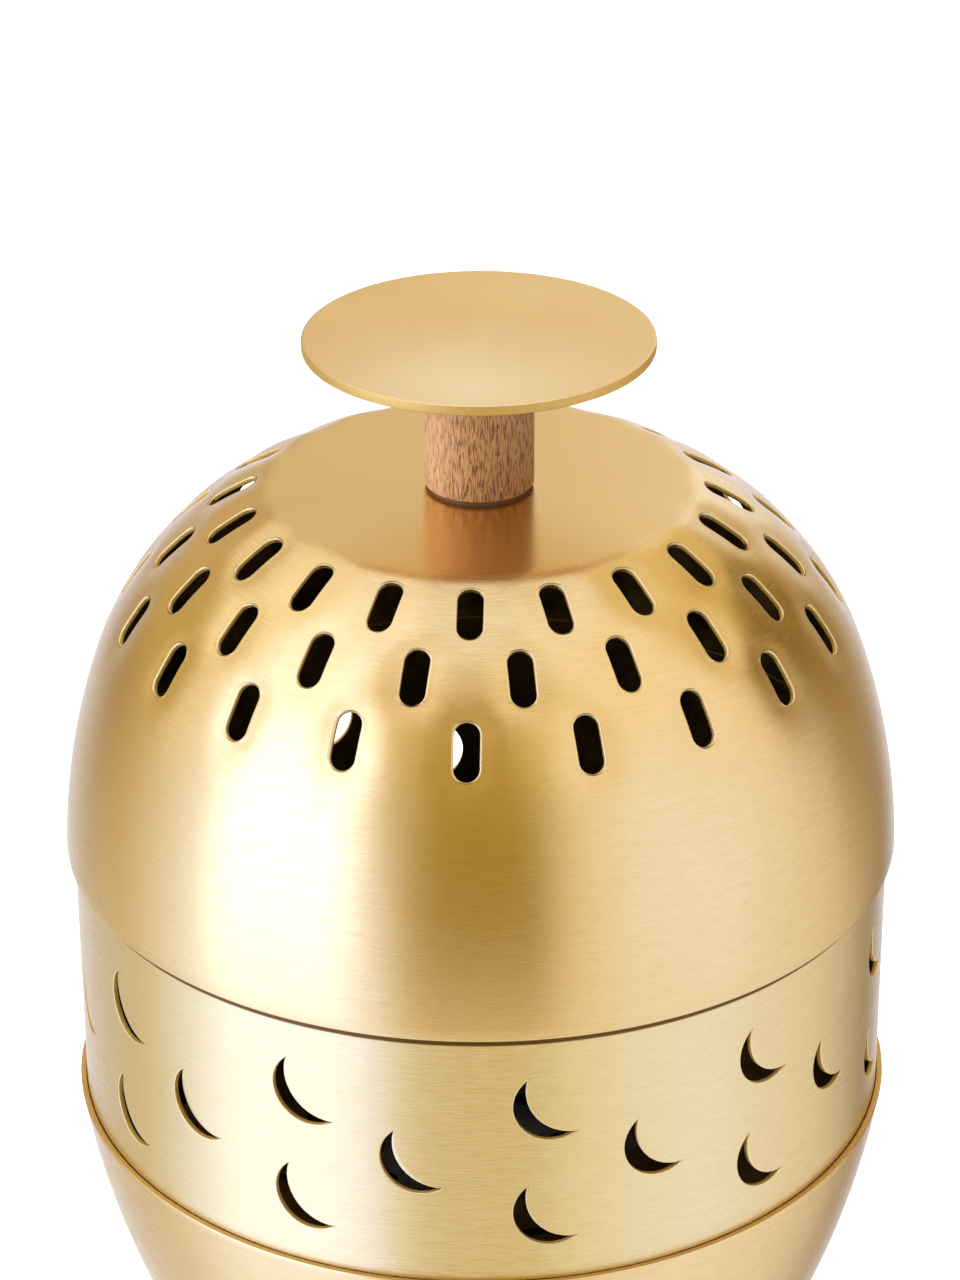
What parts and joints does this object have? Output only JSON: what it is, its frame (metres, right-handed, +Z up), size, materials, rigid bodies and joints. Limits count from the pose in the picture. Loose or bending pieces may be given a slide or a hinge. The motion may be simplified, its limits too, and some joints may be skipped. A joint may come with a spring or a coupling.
{
  "type": "incense burner",
  "caption": "Round domed incense burner with a pierced lid and band, a lower bowl, an ember cup and grate inside, and a wooden-stemmed disc knob.",
  "frame": {"origin": "centre of the cork pad's underside, where the burner stands on the table", "axes": "+Z up along the burner's axis of turning; -Y the front, where a slot of the lid's upper and lower rows lies; +X to the right of someone facing that front"},
  "size_m": [0.12, 0.12, 0.1712],
  "materials": {
    "cork_pad": "pressed cork, matt",
    "bowl_brass": "spun and satin-brushed round the axis",
    "band_brass": "rolled sheet, satin-brushed along its length",
    "ring_brass": "turned, left dull",
    "cup_brass": "spun, dulled by heat",
    "grate_steel": "punched steel sheet",
    "lid_brass": "spun and satin-brushed round the axis",
    "fibre": "dark heat-proof fibre",
    "stem_wood": "oiled open-pored hardwood",
    "disc_brass": "satin-brushed",
    "stud_brass": "threaded rod",
    "washer_brass": "plain",
    "nut_brass": "plain hexagon"
  },
  "bodies": {
    "base": {"base_pad": "cork_pad", "lower_bowl": "bowl_brass", "pierced_band": "band_brass", "cup_support_ring": "ring_brass"},
    "lid": {"lid_dome": "lid_brass", "stem_washer": "fibre", "knob_stem": "stem_wood", "knob_disc": "disc_brass", "knob_stud": "stud_brass", "lid_washer": "washer_brass", "lid_nut": "nut_brass"},
    "cup": {"ember_cup": "cup_brass"},
    "grate": {"ember_grate": "grate_steel"}
  },
  "joints": [
    {"name": "lid_lift", "type": "slide", "parent": "base", "child": "lid", "axis": [0, 0, 1], "range_m": [0, 0.12]},
    {"name": "cup_lift", "type": "slide", "parent": "base", "child": "cup", "axis": [0, 0, 1], "range_m": [0, 0.07]},
    {"name": "grate_lift", "type": "slide", "parent": "cup", "child": "grate", "axis": [0, 0, 1], "range_m": [0, 0.03]}
  ]
}
